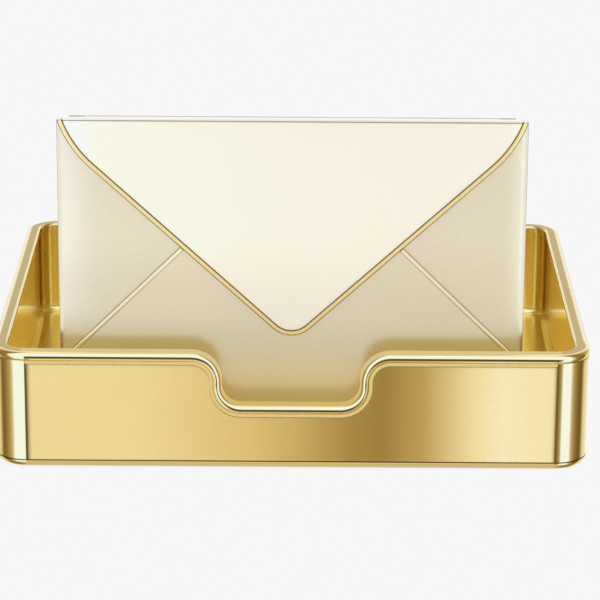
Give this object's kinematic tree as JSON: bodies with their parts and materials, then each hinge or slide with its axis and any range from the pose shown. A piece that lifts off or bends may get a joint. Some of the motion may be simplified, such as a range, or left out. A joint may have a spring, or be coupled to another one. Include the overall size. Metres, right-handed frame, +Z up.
{
  "type": "envelope sorter tray",
  "caption": "Gold desk tray with a finger notch in its front wall and an envelope-shaped letter pocket that lifts out and opens with a hinged flap.",
  "frame": {"origin": "on the surface that the tray stands on, under the middle of the tray's plan", "axes": "+Z up, -Y out of the notched front wall, +X to the right seen from the front"},
  "size_m": [0.296, 0.23, 0.176],
  "materials": {
    "satin_gold": "fine-grained satin gold with polished corners",
    "polished_gold": "mirror-polished gold",
    "mirror_gold": "deep polished gold",
    "champagne_satin": "satin champagne",
    "ivory_satin": "satin pearl ivory",
    "soft_rubber": "matt moulded rubber",
    "bright_steel": "turned steel"
  },
  "bodies": {
    "tray": {"outer_shell": "satin_gold", "rim_rail": "polished_gold", "inner_pan": "mirror_gold", "base_pan": "polished_gold", "base_posts": "bright_steel", "base_screws": "bright_steel", "foot_front_left": "soft_rubber", "foot_front_right": "soft_rubber", "foot_back_left": "soft_rubber", "foot_back_right": "soft_rubber", "envelope_channel": "mirror_gold", "channel_posts": "bright_steel", "channel_screws": "bright_steel", "channel_pad": "soft_rubber"},
    "envelope": {"envelope_back": "champagne_satin", "side_flap_left": "champagne_satin", "side_flap_right": "champagne_satin", "bottom_flap": "champagne_satin", "seam_bead_left": "polished_gold", "seam_bead_right": "polished_gold", "hinge_pin": "bright_steel"},
    "flap": {"top_flap": "ivory_satin", "flap_bead": "polished_gold"}
  },
  "joints": [
    {"name": "envelope_lift", "type": "slide", "parent": "tray", "child": "envelope", "axis": [0, 0, 1], "range_m": [0, 0.06]},
    {"name": "flap_hinge", "type": "hinge", "parent": "envelope", "child": "flap", "pos_m": [0, -0.0939, 0.1739], "axis": [-1, 0, 0], "range_deg": [0, 180]}
  ]
}
